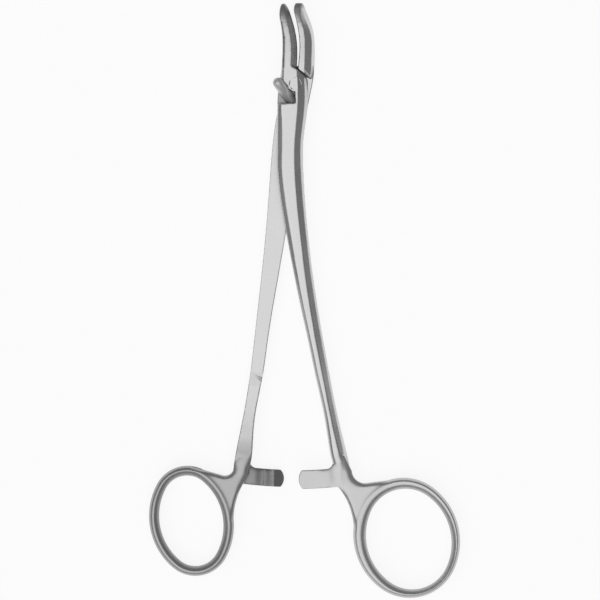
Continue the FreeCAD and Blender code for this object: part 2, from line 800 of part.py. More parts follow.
    def _ratchet_bar(self) -> None:
        """A flat bar along an arc about the pivot, reaching towards the other arm."""
        sizes = self.sizes
        near = sizes["ratchet_near"]
        far = self._ratchet_far()
        tip = self.own("ratchet_tip")
        inner_edge = self.own_station("right" if self.side < 0 else "left", CATCH_STATION)
        root = inner_edge + sizes["ratchet_seat"] * self.side
        flare = sizes["ratchet_flare"]
        flare_end = self._on_arc(near, inner_edge - flare * self.side)
        flare_top = flare_end[1] + flare
        crest = sizes["lap_gap"] / 2 + sizes["tooth_gap"]
        bulge = sizes["ratchet_tip_bulge"]
        half_width = self.own("ratchet_width") / 2
        tip_radius = (half_width * half_width + bulge * bulge) / (bulge * 2)
        inward = self.side > 0
        corners = [
            Corner(*self._on_arc(near, tip), tip_radius, bulge_left=not inward),
            Corner(*self._on_arc(far, tip), far, bulge_left=not inward),
            Corner(*self._on_arc(far, root)),
            Corner(root, flare_top),
            Corner(inner_edge + sizes["web_margin"] * self.side, flare_top, sizes["ratchet_flare_radius"], inward),
            Corner(*flare_end, near, bulge_left=inward),
        ]
        profile = self.piece.outline("ratchet_plan", "XY_Plane", corners, self.height(crest))
        thickness = sizes["ratchet_outer_face"] - crest
        self.piece.pad("ratchet_bar", profile, thickness, downward=self.side < 0)

    def _ratchet_far(self) -> Measure:
        """The bar's far edge from the pivot."""
        return self.sizes["ratchet_near"] + self.own("ratchet_width")

    @staticmethod
    def _on_arc(radius: Measure, x: Measure) -> tuple[Measure, Measure]:
        """The point below the pivot that lies on the arc of the radius, at the given x."""
        return x, -(radius * radius - x * x).root()

    def _ratchet_teeth(self) -> None:
        """Cuts the long end ramp and the saw teeth behind it, steep side away from the tip."""
        sizes = self.sizes
        crest = sizes["lap_gap"] / 2 + sizes["tooth_gap"]
        end_crest = self.own("end_crest")
        pitch = sizes["tooth_pitch"] * self.side
        clear = 1.0
        start = sizes["ratchet_near"] - clear
        length = self.own("ratchet_width") + 2 * clear
        tip = self.own("ratchet_tip") - sizes["ratchet_tip_bulge"] * 2 * self.side
        ramp = [
            Corner(end_crest, self.height(crest)),
            Corner(tip, self.height(crest + sizes["end_ramp_depth"])),
            Corner(tip, self.height(crest - clear)),
            Corner(end_crest, self.height(crest - clear)),
        ]
        profile = self.piece.outline("end_ramp", "XZ_Plane", ramp, start)
        self.piece.pocket("end_ramp_cut", profile, length, upward=True)
        tooth = [
            Corner(end_crest + pitch, self.height(crest)),
            Corner(end_crest, self.height(crest + sizes["tooth_depth"])),
            Corner(end_crest, self.height(crest - clear)),
            Corner(end_crest + pitch, self.height(crest - clear)),
        ]
        profile = self.piece.outline("tooth", "XZ_Plane", tooth, start)
        first = self.piece.pocket("tooth_cut", profile, length, upward=True)
        middle_radius = sizes["ratchet_near"] + self.own("ratchet_width") / 2
        pitch_angle = sizes["tooth_pitch"] / middle_radius * (180 / math.pi)
        self.piece.polar_pattern("teeth", first, sizes["tooth_count"], pitch_angle, clockwise=self.side < 0)


def add_stud_seat(sizes: SizeSheet, arm: Forging) -> None:
    """Mills the shallow recess beside the joint and the slanting bore that holds the stud.

    Args:
        sizes: The size sheet.
        arm: The front arm.
    """
    floor = sizes["plate_height"] - sizes["recess_depth"]
    open_side = sizes["stud_tip_x"] * 2
    corners = [
        Corner(open_side, sizes["recess_bottom"]),
        Corner(sizes["recess_right"], sizes["recess_bottom"]),
        Corner(sizes["recess_right"], sizes["recess_top"]),
        Corner(open_side, sizes["recess_top"]),
    ]
    profile = arm.outline("stud_recess", "XY_Plane", corners, floor)
    arm.pocket("stud_recess_cut", profile, sizes["recess_depth"] * 2, upward=True)
    before = arm.body.Shape.Volume
    bore = arm.body.newObject("PartDesign::SubtractiveCylinder", "stud_bore")
    bore.setExpression("Radius", (sizes["stud_radius"] + sizes["stud_seat_gap"]).text)
    bore.setExpression("Height", (sizes["stud_length"] * 2).text)
    bore.AttachmentSupport = [(arm.origin_feature("XY_Plane"), "")]
    bore.MapMode = "FlatFace"
    bore.AttachmentOffset = stud_placement(sizes)
    arm.doc.recompute()
    if arm.body.Shape.Volume >= before:
        raise RuntimeError("the stud bore removed nothing")


def stud_placement(sizes: SizeSheet) -> Placement:
    """Where the stud's root stands in the front arm's own frame, and which way it points."""
    azimuth = math.radians(sizes["stud_azimuth"].value)
    rise = math.radians(sizes["stud_rise"].value)
    flat = math.cos(rise)
    direction = Vector(math.cos(azimuth) * flat, math.sin(azimuth) * flat, math.sin(rise))
    tip_height = sizes["plate_height"] + sizes["stud_tip_above"]
    tip = Vector(sizes["stud_tip_x"].value, sizes["stud_tip_y"].value, tip_height.value)
    root = tip - direction * sizes["stud_length"].value
    return Placement(root, Rotation(Vector(0, 0, 1), direction))


def make_stud(doc, sizes: SizeSheet) -> Forging:
    """The stop stud: a round peg with a domed free end."""
    stud = Forging(doc, "stop_stud")
    radius = sizes["stud_radius"]
    length = sizes["stud_length"]
    corners = [
        Corner(ZERO, ZERO),
        Corner(radius, ZERO),
        Corner(radius, length, radius),
        Corner(ZERO, length + radius),
    ]
    profile = stud.outline("stud_profile", "XZ_Plane", corners)
    stud.revolution("stud_turned", profile)
    return stud


def make_pin(doc, sizes: SizeSheet) -> Forging:
    """The pivot rivet: a plain shaft between two countersunk heads, finished flush."""
    pin = Forging(doc, "pivot_rivet")
    shaft = sizes["pin_radius"]
    head = sizes["pin_head_radius"]
    recess = sizes["pin_recess"]
    top = sizes["plate_height"] - recess
    neck = sizes["plate_height"] - sizes["pin_head_depth"]
    flush = head - recess * (head - shaft) / sizes["pin_head_depth"]
    corners = [
        Corner(ZERO, -top),
        Corner(flush, -top),
        Corner(shaft, -neck),
        Corner(shaft, neck),
        Corner(flush, top),
        Corner(ZERO, top),
    ]
    profile = pin.outline("rivet_profile", "XZ_Plane", corners)
    pin.revolution("rivet_turned", profile)
    return pin


def check_document(doc, pieces: list[Forging]) -> None:
    """Stops if any object failed or any piece has no sound single solid."""
    for item in doc.Objects:
        if "Invalid" in item.State or "Error" in item.State:
            raise RuntimeError(f"{item.Name} failed: {item.State}")
    for piece in pieces:
        shape = piece.body.Shape
        if shape.isNull() or not shape.isValid() or len(shape.Solids) != 1:
            raise RuntimeError(f"{piece.label} is not one sound solid")


def export(pieces: list[Forging]) -> None:
    """Writes each piece to its own STEP file, named after its label."""
    os.makedirs("parts", exist_ok=True)
    for piece in pieces:
        piece.body.Shape.exportStep(f"parts/{piece.body.Label}.step")
        print(f"{piece.body.Label}: {piece.body.Shape.Volume:.1f} mm3")


def main() -> None:
    """Builds the document, places the pieces and writes them out."""
    doc = FreeCAD.newDocument("scalpel_blade_remover")
    sizes = SizeSheet(doc)
    rear_arm = Arm(doc, sizes, "rear", side=-1).build()
    front_arm = Arm(doc, sizes, "front", side=1).build()
    add_stud_seat(sizes, front_arm)
    stud = make_stud(doc, sizes)
    pin = make_pin(doc, sizes)
    pivot = Vector(sizes["pivot_x"].value, sizes["pivot_y"].value, sizes["plate_height"].value)
    closed = Placement(pivot, Rotation())
    opened = Placement(pivot, Rotation(Vector(0, 0, 1), sizes["open_angle"].value))
    rear_arm.body.Placement = closed
    pin.body.Placement = closed
    front_arm.body.Placement = opened
    stud.body.Placement = opened.multiply(stud_placement(sizes))
    doc.recompute()
    pieces = [rear_arm, front_arm, pin, stud]
    check_document(doc, pieces)
    export(pieces)


main()
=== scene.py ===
import logging
import math
from dataclasses import dataclass
from enum import Enum
from typing import Any, Protocol

import bmesh
import bpy
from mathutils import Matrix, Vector

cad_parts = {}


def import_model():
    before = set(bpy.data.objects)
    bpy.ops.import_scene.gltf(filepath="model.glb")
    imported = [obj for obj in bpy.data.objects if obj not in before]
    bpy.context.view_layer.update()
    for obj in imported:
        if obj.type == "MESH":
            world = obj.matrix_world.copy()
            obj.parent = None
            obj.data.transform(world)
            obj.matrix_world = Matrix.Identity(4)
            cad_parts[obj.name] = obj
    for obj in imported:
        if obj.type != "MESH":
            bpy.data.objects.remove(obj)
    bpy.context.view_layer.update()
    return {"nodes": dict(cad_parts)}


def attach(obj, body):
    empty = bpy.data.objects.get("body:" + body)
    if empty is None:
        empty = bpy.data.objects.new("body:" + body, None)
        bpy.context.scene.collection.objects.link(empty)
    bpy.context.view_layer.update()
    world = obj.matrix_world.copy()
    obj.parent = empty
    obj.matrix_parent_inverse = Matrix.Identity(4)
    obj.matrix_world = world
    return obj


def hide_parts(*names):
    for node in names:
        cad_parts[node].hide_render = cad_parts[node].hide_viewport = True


# Scalpel blade remover in satin stainless steel, seen from straight above on a pale surface.
# Metres, in the frame of the modelled part: jaws towards +Y, +Z up.

LOG = logging.getLogger("blade_remover")
MM = 0.001
FAR = 10 * MM  # More than any height on the part.
WHITE = (1.0, 1.0, 1.0, 1.0)
SAME_POINT = 0.001 * MM


def mm(*lengths: float) -> tuple[float, ...]:
    """Turns millimetres into metres."""
    return tuple(length * MM for length in lengths)


class Grain(Enum):
    """Which way the marks of the last grinding run."""

    LENGTHWISE = (1.0, 0.05, 1.0)
    EVERY_WAY = (1.0, 1.0, 1.0)


class Socket:
    """A node's value that Python's operators turn into Math nodes."""

    def __init__(self, maker: "NodeMaker", source: Any) -> None:
        """Wraps an output socket.

        Args:
            maker: The maker of the node tree that the socket is in.
            source: The output socket.
        """
        self.maker = maker
        self.source = source

    def _math(self, operation: str, first: Any, second: Any = 0.0) -> "Socket":
        """Adds one Math node."""
        return self.maker.add("ShaderNodeMath", {"operation": operation}, {0: first, 1: second}, 0)

    def __add__(self, other: Any) -> "Socket":
        """Adds."""
        return self._math("ADD", self, other)

    def __sub__(self, other: Any) -> "Socket":
        """Subtracts."""
        return self._math("SUBTRACT", self, other)

    def __rsub__(self, other: Any) -> "Socket":
        """Subtracts this from a number."""
        return self._math("SUBTRACT", other, self)

    def __mul__(self, other: Any) -> "Socket":
        """Multiplies."""
        return self._math("MULTIPLY", self, other)

    def __truediv__(self, other: Any) -> "Socket":
        """Divides."""
        return self._math("DIVIDE", self, other)

    def __pow__(self, other: Any) -> "Socket":
        """Raises to a power."""
        return self._math("POWER", self, other)

    def __abs__(self) -> "Socket":
        """Drops the sign."""
        return self._math("ABSOLUTE", self)

    def __lt__(self, other: Any) -> "Socket":
        """One where this is less, else nought."""
        return self._math("LESS_THAN", self, other)

    __radd__ = __add__
    __rmul__ = __mul__

    def at_most(self, other: Any) -> "Socket":
        """The smaller of two values."""
        return self._math("MINIMUM", self, other)

    def at_least(self, other: Any) -> "Socket":
        """The larger of two values."""
        return self._math("MAXIMUM", self, other)

    def share(self) -> "Socket":
        """The value, held between nought and one."""
        return self.at_least(0.0).at_most(1.0)

    def sign(self) -> "Socket":
        """Plus one, nought or minus one."""
        return self._math("SIGN", self)


class NodeMaker:
    """Adds nodes to one tree."""

    def __init__(self, tree: bpy.types.NodeTree) -> None:
        """Empties the tree.

        Args:
            tree: The node tree to fill.
        """
        self.tree = tree
        tree.nodes.clear()

    def add(self, kind: str, settings: dict[str, Any], inputs: dict[Any, Any], output: Any = None) -> Any:
        """Adds a node.

        Args:
            kind: The node's type.
            settings: Properties that are set first.
            inputs: Values or links, by the socket's name or number.
            output: The output to wrap, or None for the node itself.

        Returns:
            The wrapped output socket, or the node.
        """
        node = self.tree.nodes.new(kind)
        for name, value in settings.items():
            setattr(node, name, value)
        for name, value in inputs.items():
            if isinstance(value, Socket):
                self.tree.links.new(value.source, node.inputs[name])
            else:
                node.inputs[name].default_value = value
        return node if output is None else Socket(self, node.outputs[output])

    def blend(self, factor: Any, first: tuple, second: tuple) -> Socket:
        """Mixes two colours.

        Args:
            factor: How much of the second.
            first: The first colour.
            second: The second colour.

        Returns:
            The mixed colour.
        """
        mix = self.add("ShaderNodeMix", {"data_type": "RGBA"}, {"Factor": factor})
        mix.inputs[6].default_value = (*first, 1.0)
        mix.inputs[7].default_value = (*second, 1.0)
        return Socket(self, mix.outputs[2])

    def split(self, vector: Socket) -> tuple[Socket, Socket, Socket]:
        """The three parts of a vector."""
        node = self.add("ShaderNodeSeparateXYZ", {}, {"Vector": vector})
        return Socket(self, node.outputs[0]), Socket(self, node.outputs[1]), Socket(self, node.outputs[2])


@dataclass(frozen=True)
class Patch:
    """A box-shaped place in the part's frame whose finish and colour differ; most patches lay painted shade
    on the colour.
    """

    low: tuple[float, ...]
    high: tuple[float, ...]
    fade: float
    tone: float = 1.0
    rougher: float = 0.0
    matte: float = 0.0

    def share(self, place: tuple[Socket, Socket, Socket]) -> Socket:
        """Says how far a point lies inside the box.

        Args:
            place: The point's three coordinates.

        Returns:
            One inside, falling to nought over the fade at each side.
        """
        inside = None
        for value, low, high in zip(place, self.low, self.high):
            side = ((value - low) / self.fade).share() * ((high - value) / self.fade).share()
            inside = side if inside is None else inside * side
        return inside


@dataclass(frozen=True)
class Edge:
    """A line along an edge, straight when seen from above, where a painted highlight or painted shade lies
    and the finish differs.
    """

    start: tuple[float, ...]
    end: tuple[float, ...]
    width: float = 0.28 * MM
    # By default a painted highlight: the colour is made lighter along the line, which is also made matte and
    # rougher.
    tone: float = 1.45
    rougher: float = 0.1
    matte: float = 0.75
    from_height: float = 2.0 * MM

    def share(self, place: tuple[Socket, Socket, Socket]) -> Socket:
        """Says how near a point lies to the edge.

        Args:
            place: The point's three coordinates.

        Returns:
            One on the edge, falling to nought over the width.
        """
        along_x = self.end[0] - self.start[0]
        along_y = self.end[1] - self.start[1]
        length = along_x * along_x + along_y * along_y
        x, y, z = place
        part = ((x - self.start[0]) * (along_x / length) + (y - self.start[1]) * (along_y / length)).share()
        off_x = x - self.start[0] - part * along_x
        off_y = y - self.start[1] - part * along_y
        distance = (off_x * off_x + off_y * off_y) ** 0.5
        return (1.0 - distance / self.width).share() * (1.0 - (z < self.from_height))


@dataclass(frozen=True)
class SteelFinish:
    """Satin-ground stainless steel, with painted shade in its corners and the patches of its finish, some of
    which paint shade or highlights.
    """

    name: str
    light: tuple[float, float, float] = (0.63, 0.63, 0.63)
    dark: tuple[float, float, float] = (0.55, 0.55, 0.555)
    roughness: float = 0.27
    roughness_range: float = 0.10
    metallic: float = 1.0
    grain: Grain = Grain.EVERY_WAY
    grain_per_metre: float = 7000.0
    grain_detail: float = 2.0
    grain_height: float = 0.0015 * MM
    grain_strength: float = 0.3
    cloud_per_metre: float = 140.0
    cloud_detail: float = 4.0
    # Painted shade: the colour darkens in corners and recesses within this reach, down to this tone.
    corner_shade_reach: float = 1.4 * MM
    corner_shade_tone: float = 0.85
    corner_shade_samples: int = 8
    patches: tuple[Patch | Edge, ...] = ()

    def material(self) -> bpy.types.Material:
        """Builds the material.

        Returns:
            The material.
        """
        material = bpy.data.materials.new(self.name)
        material.use_nodes = True
        maker = NodeMaker(material.node_tree)
        place = maker.add("ShaderNodeTexCoord", {}, {}, "Object")
        point = maker.split(place)
        stretch = maker.add("ShaderNodeMapping", {}, {"Vector": place, "Scale": self.grain.value}, "Vector")
        clouds = maker.add(
            "ShaderNodeTexNoise",
            {},
            {"Vector": place, "Scale": self.cloud_per_metre, "Detail": self.cloud_detail},
            "Fac",
        )
        grains = maker.add(
            "ShaderNodeTexNoise",
            {},
            {"Vector": stretch, "Scale": self.grain_per_metre, "Detail": self.grain_detail},
            "Fac",
        )
        bump = maker.add(
            "ShaderNodeBump",
            {},
            {"Height": grains, "Strength": self.grain_strength, "Distance": self.grain_height},
            "Normal",
        )
        # Painted shade: ambient occlusion darkens the colour in corners, recesses and grooves.
        open_sky = maker.add(
            "ShaderNodeAmbientOcclusion",
            {"samples": self.corner_shade_samples},
            {"Distance": self.corner_shade_reach},
            "AO",
        )
        tone = open_sky * (1.0 - self.corner_shade_tone) + self.corner_shade_tone
        roughness = (clouds - 0.5) * self.roughness_range + (grains - 0.5) * self.roughness_range
        roughness = roughness + self.roughness
        metallic: Socket | float = self.metallic
        # Each patch scales the colour by its tone, and most of these tones are painted shade or painted
        # highlight.
        for patch in self.patches:
            inside = patch.share(point)
            tone = tone * (1.0 - inside * (1.0 - patch.tone))
            roughness = roughness + inside * patch.rougher
            if patch.matte:
                metallic = (1.0 - inside * patch.matte) * metallic
        steel = maker.blend(clouds, self.dark, self.light)
        colour = maker.add(
            "ShaderNodeVectorMath", {"operation": "SCALE"}, {0: steel, "Scale": tone}, "Vector"
        )
        shader = maker.add(
            "ShaderNodeBsdfPrincipled",
            {},
            {"Base Color": colour, "Metallic": metallic, "Roughness": roughness, "Normal": bump},
            "BSDF",
        )
        maker.add("ShaderNodeOutputMaterial", {}, {"Surface": shader})
        return material


class Skin:
    """The surface of a forged arm in a geometry tree, ground by rules on its points' heights."""

    def __init__(self, name: str, sizes: dict[str, float]) -> None:
        """Starts the tree.

        Args:
            name: The tree's name.
            sizes: The sizes that the rules use, which become the tree's inputs.
        """
        self.tree = bpy.data.node_groups.new(name, "GeometryNodeTree")
        self.maker = NodeMaker(self.tree)
        interface = self.tree.interface
        interface.new_socket("Geometry", in_out="INPUT", socket_type="NodeSocketGeometry")
        interface.new_socket("Geometry", in_out="OUTPUT", socket_type="NodeSocketGeometry")
        self.identifiers = {
            label: interface.new_socket(label, in_out="INPUT", socket_type="NodeSocketFloat").identifier
            for label in sizes
        }
        self.sizes = sizes
        self.given = self.maker.add("NodeGroupInput", {}, {})
        self.surface = Socket(self.maker, self.given.outputs["Geometry"])

    def size(self, label: str) -> Socket:
        """One of the tree's inputs."""
        return Socket(self.maker, self.given.outputs[label])

    def point(self) -> tuple[Socket, Socket, Socket]:
        """A point's three coordinates."""
        return self.maker.split(self.maker.add("GeometryNodeInputPosition", {}, {}, 0))

    def within(self, value: Socket, low: float, high: float, fade: float) -> Socket:
        """One between two limits, falling to nought over the fade inside each."""
        return ((value - low) / fade).share() * ((high - value) / fade).share()

    def measure_walls(self, steepest: float, eye: tuple[float, ...]) -> None:
        """Stores how far each point is from an upright wall, seen from above, and on which side that is.

        Args:
            steepest: The greatest upward part of a wall's normal.
            eye: The middle of the finger eye, which says which walls lie outward.
        """
        x, y, _ = self.point()
        _, _, tilt = self.maker.split(self.maker.add("GeometryNodeInputNormal", {}, {}, 0))
        level = self.maker.add("ShaderNodeCombineXYZ", {}, {0: x, 1: y, 2: 0.0}, 0)
        walls = self.maker.add(
            "GeometryNodeSeparateGeometry",
            {"domain": "POINT"},
            {"Geometry": self.surface, "Selection": abs(tilt) < steepest},
            "Selection",
        )
        walls = self.maker.add("GeometryNodeSetPosition", {}, {"Geometry": walls, "Position": level}, 0)
        nearest = self.maker.add("GeometryNodeProximity", {"target_element": "POINTS"}, {0: walls, 2: level})
        wall_x, wall_y, _ = self.maker.split(Socket(self.maker, nearest.outputs["Position"]))
        away_from_eye = (wall_x - x) * (x - eye[0]) + (wall_y - y) * (y - eye[1])
        self._store("away", Socket(self.maker, nearest.outputs["Distance"]))
        self._store("outward", 1.0 - (away_from_eye < 0.0))

    def _store(self, name: str, value: Socket) -> None:
        """Stores a value on the points.

        Args:
            name: The value's name.
            value: The value.
        """
        self.surface = self.maker.add(
            "GeometryNodeStoreNamedAttribute",
            {"data_type": "FLOAT", "domain": "POINT"},
            {"Geometry": self.surface, "Name": name, "Value": value},
            0,
        )

    def stored(self, name: str) -> Socket:
        """Reads a stored value."""
        return self.maker.add("GeometryNodeInputNamedAttribute", {"data_type": "FLOAT"}, {"Name": name}, 0)

    def grind(self, height: Socket) -> None:
        """Gives every point a new height.

        Args:
            height: The new height.
        """
        x, y, _ = self.point()
        moved = self.maker.add("ShaderNodeCombineXYZ", {}, {0: x, 1: y, 2: height}, 0)
        self.surface = self.maker.add(
            "GeometryNodeSetPosition", {}, {"Geometry": self.surface, "Position": moved}, 0
        )

    def soften(self, amount: Socket | float, passes: int, heights_only: bool) -> None:
        """Averages the points with their neighbours.

        Args:
            amount: How much of the averaged place each point takes.
            passes: How often the average is taken.
            heights_only: Whether the points keep their places seen from above.
        """
        place = self.maker.add("GeometryNodeInputPosition", {}, {}, 0)
        soft = self.maker.add(
            "GeometryNodeBlurAttribute",
            {"data_type": "FLOAT_VECTOR"},
            {"Value": place, "Iterations": passes},
            "Value",
        )
        if heights_only:
            _, _, height = self.maker.split(place)
            _, _, soft_height = self.maker.split(soft)
            self.grind(height + (soft_height - height) * amount)
            return
        self.surface = self.maker.add(
            "GeometryNodeSetPosition", {}, {"Geometry": self.surface, "Position": soft}, 0
        )

    def end(self, material: bpy.types.Material) -> None:
        """Makes the surface real, gives it its finish and closes the tree.

        Args:
            material: The finish.
        """
        real = self.maker.add("GeometryNodeRealizeInstances", {}, {"Geometry": self.surface}, 0)
        dressed = self.maker.add("GeometryNodeSetMaterial", {}, {"Geometry": real, "Material": material}, 0)
        self.maker.add("NodeGroupOutput", {}, {"Geometry": dressed})

    def put_on(self, piece: bpy.types.Object) -> None:
        """Runs the tree on a piece and keeps the result as its mesh.

        Args:
            piece: The piece.
        """
        modifier = piece.modifiers.new("ground", "NODES")
        modifier.node_group = self.tree
        for label, value in self.sizes.items():
            modifier[self.identifiers[label]] = value
        bake(piece)


class Rule(Protocol):
    """One way of grinding a skin."""

    def apply(self, skin: Skin) -> None:
        """Adds the rule's nodes to the skin's tree."""


@dataclass(frozen=True)
class BowRounding:
    """Rounds the finger ring and its web by hand grinding, and leaves the ratchet bar out."""

    middle: float = 2.8 * MM
    wall_height: float = 0.5 * MM
    crown: float = 1.2 * MM
    inner_width: float = 1.5 * MM
    outer_width: float = 0.85 * MM
    steepness: float = 1.9
    top_line: float = -38.0 * MM
    fade: float = 5.0 * MM
    bars: tuple[float, ...] = mm(-13.2, 7.2)
    bar_fade: float = 1.0 * MM

    def apply(self, skin: Skin) -> None:
        """Holds the heights under a curve that rises from the nearest wall.

        Args:
            skin: The skin to grind.
        """
        x, y, z = skin.point()
        inner = skin.size("Ring inner width")
        width = inner + (skin.size("Ring outer width") - inner) * skin.stored("outward")
        climb = 1.0 - (1.0 - (skin.stored("away") / width).share()) ** self.steepness
        limit = skin.size("Ring wall height") + skin.size("Ring crown") * climb
        height = z - self.middle
        tall = abs(height)
        deep = ((self.top_line - y) / self.fade).share()
        beside = skin.within(x, *self.bars, self.bar_fade)
        rounded = tall + (tall.at_most(limit) - tall) * deep * (1.0 - beside)
        skin.grind(rounded * height.sign() + self.middle)


@dataclass(frozen=True)
class LapRunOut:
    """Runs the flat of the lap out into the full shank."""

    level: float = 2.77 * MM
    end: float = -18.0 * MM
    overlap: float = 1.0 * MM
    slope: float = 0.095
    last: float = -38.0 * MM

    def apply(self, skin: Skin) -> None:
        """Holds the heights under a long slope.

        Args:
            skin: The skin to grind.
        """
        _, y, z = skin.point()
        limit = (self.end - y).at_least(0.0) * self.slope + self.level
        elsewhere = ((y < self.last) + 1.0 - (y < self.end + self.overlap)) * FAR
        skin.grind(z.at_most(limit + elsewhere))


@dataclass(frozen=True)
class BarRamp:
    """Thins the end of a ratchet bar with a ramp."""

    level: float = 2.72 * MM
    start: float = -7.8 * MM
    below: float = -36.0 * MM
    slope: float = 0.52

    def apply(self, skin: Skin) -> None:
        """Holds the heights at the bar's end under the ramp.

        Args:
            skin: The skin to grind.
        """
        x, y, z = skin.point()
        limit = (x - self.start) * -self.slope + self.level
        elsewhere = ((x < self.start) + 1.0 - (y < self.below)) * FAR
        skin.grind(z.at_most(limit + elsewhere))


@dataclass(frozen=True)
class Bevel:
    """The plane of the front plate's bevel beside the rivet, as height from x and y."""

    per_x: float = -0.672
    per_y: float = -0.0315
    height: float = 6.162 * MM
    rivet_sink: float = 0.03 * MM

    def over(self, x: Socket, y: Socket) -> Socket:
        """The plane's height over a point."""
        return x * self.per_x + y * self.per_y + self.height

    def rivet_cut(self) -> tuple[Vector, Vector]:
        """A point and the upward normal of the plane that the rivet's head is ground to."""
        normal = Vector((-self.per_x, -self.per_y, 1.0)).normalized()
        return Vector((0.0, 0.0, self.height - self.rivet_sink)), normal


@dataclass(frozen=True)
class FlushRim:
    """Keeps the rim of the rivet's bore level after the edges are softened."""

    bevel: Bevel = Bevel()
    centre: tuple[float, ...] = mm(-2.28, 53.93)
    inner: float = 1.5 * MM
    outer: float = 1.95 * MM
    from_height: float = 4.5 * MM
    level: float = 5.6 * MM

    def apply(self, skin: Skin) -> None:
        """Lifts the top of the rim back to the plate and its bevel.

        Args:
            skin: The skin to grind.
        """
        x, y, z = skin.point()
        across = x - self.centre[0]
        along = y - self.centre[1]
        radius = (across * across + along * along) ** 0.5
        near = (radius < self.outer) * (1.0 - (radius < self.inner)) * (1.0 - (z < self.from_height))
        skin.grind(z + (self.bevel.over(x, y).at_most(self.level) - z) * near)


@dataclass(frozen=True)
class Fill:
    """Fills a groove between the shank and the ratchet bar."""

    centre: tuple[float, ...]
    reach: float
    level: float
    from_height: float = 3.0 * MM
    fade: float = 0.8 * MM

    def apply(self, skin: Skin) -> None:
        """Lifts the heights in the place to a level.

        Args:
            skin: The skin to grind.
        """
        x, y, z = skin.point()
        across = x - self.centre[0]
        along = y - self.centre[1]
        near = ((self.reach - (across * across + along * along) ** 0.5) / self.fade).share()
        skin.grind(z + (z.at_least(self.level) - z) * near * (1.0 - (z < self.from_height)))


@dataclass(frozen=True)
class Polish:
    """Softens the heights in round places, and a little all over where that is asked."""

    places: tuple[tuple[float, ...], ...]
    passes: int = 36
    fade: float = 2.0 * MM
    all_over: float = 0.0
    all_passes: int = 5

    def apply(self, skin: Skin) -> None:
        """Softens the heights, most of all in the places.

        Args:
            skin: The skin to grind.
        """
        if self.all_over:
            skin.soften(self.all_over, self.all_passes, True)
        for centre_x, centre_y, reach in self.places:
            x, y, _ = skin.point()
            across = x - centre_x
            along = y - centre_y
            distance = (across * across + along * along) ** 0.5
            skin.soften(((reach - distance) / self.fade).share(), self.passes, True)


@dataclass
class ForgedArm:
    """One arm: its forging with ground flats, softened edges and a rounded bow."""

    node: str
    body: str
    finish: SteelFinish
    eye: tuple[float, ...]
    rules: tuple[Rule, ...] = ()
    voxel: float = 0.15 * MM
    steepest_wall: float = 0.35
    smoothing: int = 3
    most_triangles: int = 150_000
    sharp_angle: float = math.radians(60)

    def build(self, nodes: dict[str, bpy.types.Object]) -> bpy.types.Object:
        """Builds the piece and puts it in its node's place.

        Args:
            nodes: The modelled part's objects by name.

        Returns:
            The piece.
        """
        material = self.finish.material()
        piece = merged_copy(nodes[self.node], f"{self.node}_steel")
        even = piece.modifiers.new("even", "REMESH")
        even.mode = "VOXEL"
        even.voxel_size = self.voxel
        bake(piece)
        bow = BowRounding()
        skin = Skin(
            f"{self.node}_grinding",
            {
                "Ring wall height": bow.wall_height,
                "Ring crown": bow.crown,
                "Ring inner width": bow.inner_width,
                "Ring outer width": bow.outer_width,
            },
        )
        skin.measure_walls(self.steepest_wall, self.eye)
        bow.apply(skin)
        skin.soften(1.0, self.smoothing, False)
        for rule in self.rules:
            rule.apply(skin)
        skin.end(material)
        skin.put_on(piece)
        triangles = 2 * len(piece.data.polygons)
        if triangles > self.most_triangles:
            fewer = piece.modifiers.new("fewer", "DECIMATE")
            fewer.ratio = self.most_triangles / triangles
            bake(piece)
        smooth(piece, self.sharp_angle)
        seat(piece, self.node, self.body)
        return piece


@dataclass
class TurnedPart:
    """A small turned piece: the rivet or the stud."""

    node: str
    body: str
    finish: SteelFinish
    sharp_angle: float = math.radians(22)
    cut: tuple[Vector, Vector] | None = None

    def build(self, nodes: dict[str, bpy.types.Object]) -> bpy.types.Object:
        """Builds the piece and puts it in its node's place.

        Args:
            nodes: The modelled part's objects by name.

        Returns:
            The piece.
        """
        piece = merged_copy(nodes[self.node], f"{self.node}_steel")
        if self.cut:
            self._grind_flush(piece, *self.cut)
        piece.data.materials.append(self.finish.material())
        smooth(piece, self.sharp_angle)
        seat(piece, self.node, self.body)
        return piece

    def _grind_flush(self, piece: bpy.types.Object, point: Vector, normal: Vector) -> None:
        """Grinds the piece down to a plane.

        Args:
            piece: The piece.
            point: A point of the plane.
            normal: The side that goes.
        """
        work = bmesh.new()
        work.from_mesh(piece.data)
        everything = work.verts[:] + work.edges[:] + work.faces[:]
        cut = bmesh.ops.bisect_plane(work, geom=everything, plane_co=point, plane_no=normal, clear_outer=True)
        rim = [part for part in cut["geom_cut"] if isinstance(part, bmesh.types.BMEdge)]
        bmesh.ops.contextual_create(work, geom=rim)
        bmesh.ops.recalc_face_normals(work, faces=work.faces)
        work.to_mesh(piece.data)
        work.free()


def merged_copy(node: bpy.types.Object, name: str) -> bpy.types.Object:
    """Copies a node's mesh with its loose triangles joined.

    Args:
        node: The modelled node.
        name: The new piece's name.

    Returns:
        The new object.
    """
    work = bmesh.new()
    work.from_mesh(node.data)
    bmesh.ops.remove_doubles(work, verts=work.verts, dist=SAME_POINT)
    mesh = bpy.data.meshes.new(name)
    work.to_mesh(mesh)
    work.free()
    piece = bpy.data.objects.new(name, mesh)
    bpy.context.scene.collection.objects.link(piece)
    return piece


def bake(piece: bpy.types.Object) -> None:
    """Turns a piece's modifiers into its plain mesh.

    Args:
        piece: The piece.
    """
    graph = bpy.context.evaluated_depsgraph_get()
    mesh = bpy.data.meshes.new_from_object(piece.evaluated_get(graph))
    piece.modifiers.clear()
    old = piece.data
    piece.data = mesh
    mesh.name = piece.name
    bpy.data.meshes.remove(old)


